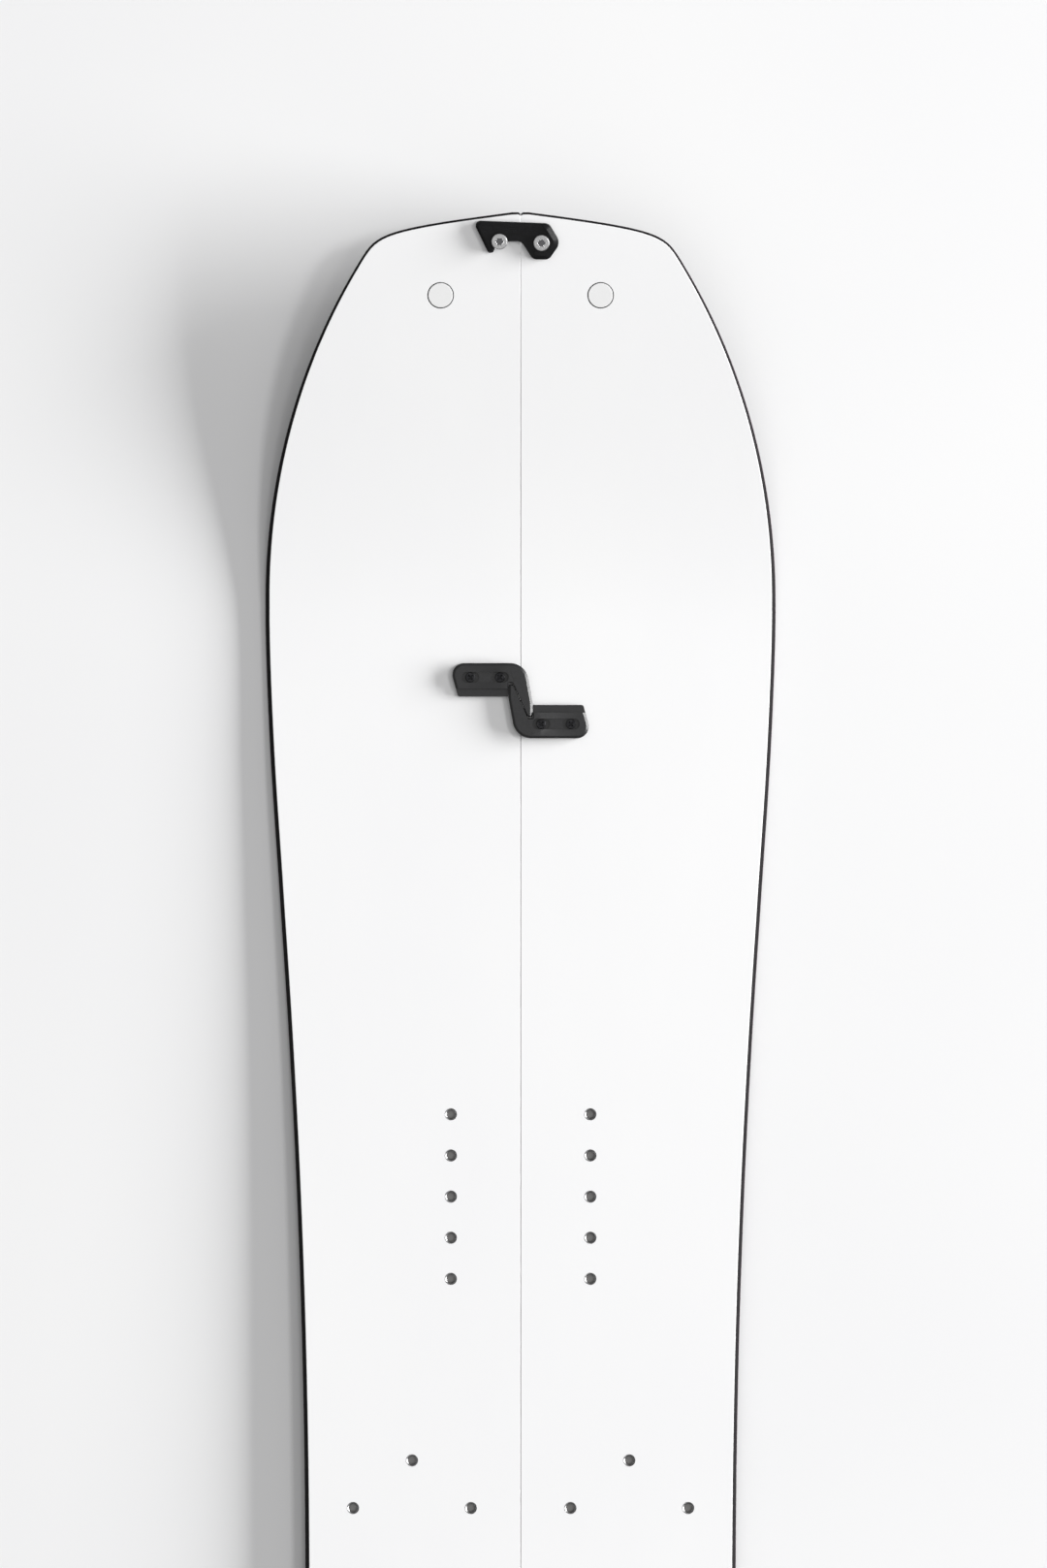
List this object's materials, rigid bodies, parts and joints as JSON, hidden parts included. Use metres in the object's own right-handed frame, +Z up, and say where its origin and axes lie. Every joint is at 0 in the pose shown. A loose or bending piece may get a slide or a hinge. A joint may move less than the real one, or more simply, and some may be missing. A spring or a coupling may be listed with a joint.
{
  "type": "splitboard",
  "caption": "Snowboard that splits lengthways into two touring skis, with interlocking hooks on the seam, turning clips at tip and tail and threaded inserts for bindings.",
  "frame": {"origin": "under the middle of the board, level with the lowest line of its base, midway between the sides", "axes": "+Y along the board to its tip, +X across it to the right half, +Z up from the base to the topsheet"},
  "size_m": [0.3156, 1.62, 0.0478],
  "materials": {
    "running_base": "sintered polyethylene, stone ground",
    "edge_steel": "ground spring steel",
    "sidewall": "milled ABS",
    "core_wood": "poplar core under clear glass-fibre laminate",
    "topsheet": "satin polyamide film",
    "stainless": "machined stainless steel",
    "hook_nylon": "moulded glass-filled nylon",
    "clip_alloy": "machined, black anodised",
    "tip_plug": "moulded ABS"
  },
  "bodies": {
    "right_half": {"base_right": "running_base", "steel_edge_right": "edge_steel", "sidewall_right": "sidewall", "core_right": "core_wood", "topsheet_right": "topsheet", "tip_plug_right": "tip_plug", "insert_front_right_1": "stainless", "insert_front_right_2": "stainless", "insert_front_right_3": "stainless", "insert_front_right_4": "stainless", "insert_front_right_5": "stainless", "hook_front_right": "hook_nylon", "hook_screw_front_right_1": "stainless", "hook_screw_front_right_2": "stainless", "insert_rear_right_1": "stainless", "insert_rear_right_2": "stainless", "insert_rear_right_3": "stainless", "insert_rear_right_4": "stainless", "insert_rear_right_5": "stainless", "hook_rear_right": "hook_nylon", "hook_screw_rear_right_1": "stainless", "hook_screw_rear_right_2": "stainless", "insert_touring_right_1": "stainless", "insert_touring_right_2": "stainless", "insert_touring_right_3": "stainless", "tail_catch_post": "stainless", "tip_clip_pivot": "stainless"},
    "left_half": {"base_left": "running_base", "steel_edge_left": "edge_steel", "sidewall_left": "sidewall", "core_left": "core_wood", "topsheet_left": "topsheet", "tip_plug_left": "tip_plug", "insert_front_left_1": "stainless", "insert_front_left_2": "stainless", "insert_front_left_3": "stainless", "insert_front_left_4": "stainless", "insert_front_left_5": "stainless", "hook_front_left": "hook_nylon", "hook_screw_front_left_1": "stainless", "hook_screw_front_left_2": "stainless", "insert_rear_left_1": "stainless", "insert_rear_left_2": "stainless", "insert_rear_left_3": "stainless", "insert_rear_left_4": "stainless", "insert_rear_left_5": "stainless", "hook_rear_left": "hook_nylon", "hook_screw_rear_left_1": "stainless", "hook_screw_rear_left_2": "stainless", "insert_touring_left_1": "stainless", "insert_touring_left_2": "stainless", "insert_touring_left_3": "stainless", "tip_catch_post": "stainless", "tail_clip_pivot": "stainless"},
    "tip_clip_body": {"tip_clip": "clip_alloy"},
    "tail_clip_body": {"tail_clip": "clip_alloy"}
  },
  "joints": [
    {"name": "seam_slide", "type": "slide", "parent": "right_half", "child": "left_half", "axis": [0, 1, 0], "range_m": [0, 0.03]},
    {"name": "tip_clip_turn", "type": "hinge", "parent": "right_half", "child": "tip_clip_body", "pos_m": [0.0129, 0.7914, 0.04104], "axis": [0, 0.1289, -0.9917], "range_deg": [0, 270]},
    {"name": "tail_clip_turn", "type": "hinge", "parent": "left_half", "child": "tail_clip_body", "pos_m": [-0.0129, -0.7914, 0.02953], "axis": [0, -0.1006, -0.9949], "range_deg": [0, 270]}
  ],
  "couplings": [
    {"joint": "tip_clip_turn", "follows": "seam_slide", "rad_per_m": 157},
    {"joint": "tail_clip_turn", "follows": "seam_slide", "rad_per_m": 157}
  ]
}
